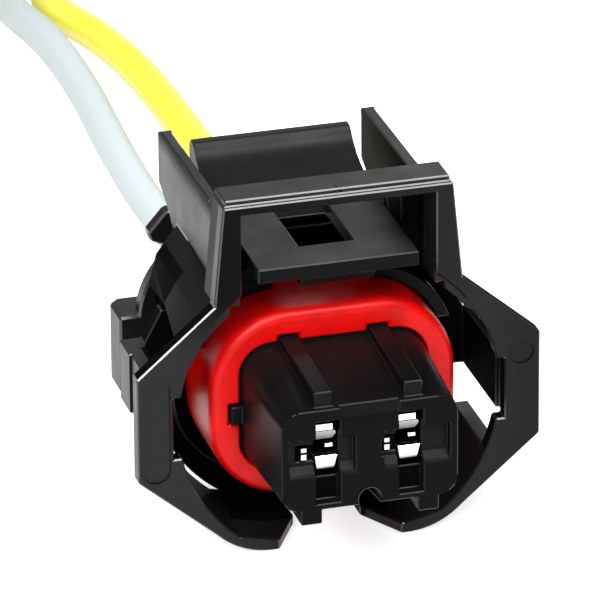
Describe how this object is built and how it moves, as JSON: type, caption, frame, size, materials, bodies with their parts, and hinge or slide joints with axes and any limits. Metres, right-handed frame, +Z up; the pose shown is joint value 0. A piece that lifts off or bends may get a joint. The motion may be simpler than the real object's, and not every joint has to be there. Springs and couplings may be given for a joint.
{
  "type": "connector pigtail",
  "caption": "Sealed two-way plug with a locking frame of C-shaped jaws, a thumb release lever and a red face seal, on two short wire leads",
  "frame": {"origin": "middle of the nose's front (mating) face, level with the axis of the locking jaws", "axes": "-Y out of the mating face towards the socket, +Y along the wires, +Z up towards the release lever, +X to the right seen from the socket side"},
  "size_m": [0.0406, 0.1467, 0.0253],
  "materials": {
    "black_polyamide": "satin moulded",
    "slide_plastic": "satin moulded",
    "red_silicone": "glossy moulded silicone",
    "tinned_brass": "bright tin plated",
    "spring_steel": "bright",
    "copper": "stranded",
    "seal_silicone": "moulded silicone",
    "white_insulation": "smooth extruded",
    "yellow_insulation": "smooth extruded",
    "tie_nylon": "moulded"
  },
  "bodies": {
    "connector": {"housing": "black_polyamide", "locking_frame": "black_polyamide", "rear_cover": "black_polyamide", "face_seal": "red_silicone", "terminal_left": "tinned_brass", "spring_sleeve_left": "spring_steel", "conductor_left": "copper", "wire_seal_left": "seal_silicone", "terminal_right": "tinned_brass", "spring_sleeve_right": "spring_steel", "conductor_right": "copper", "wire_seal_right": "seal_silicone", "wire_white": "white_insulation", "wire_yellow": "yellow_insulation", "wire_coil": "white_insulation", "coil_tie": "tie_nylon", "bare_end_white": "copper", "bare_end_yellow": "copper"},
    "lever": {"release_lever": "black_polyamide"},
    "slide": {"lock_slide": "slide_plastic"}
  },
  "joints": [
    {"name": "lever_tilt", "type": "hinge", "parent": "connector", "child": "lever", "pos_m": [0, 0.0166, 0.00995], "axis": [-1, 0, 0], "range_deg": [0, 8], "stiffness_Nm_per_rad": 0.05},
    {"name": "slide_pull", "type": "slide", "parent": "connector", "child": "slide", "axis": [-1, 0, 0], "range_m": [0, 0.0024]}
  ]
}
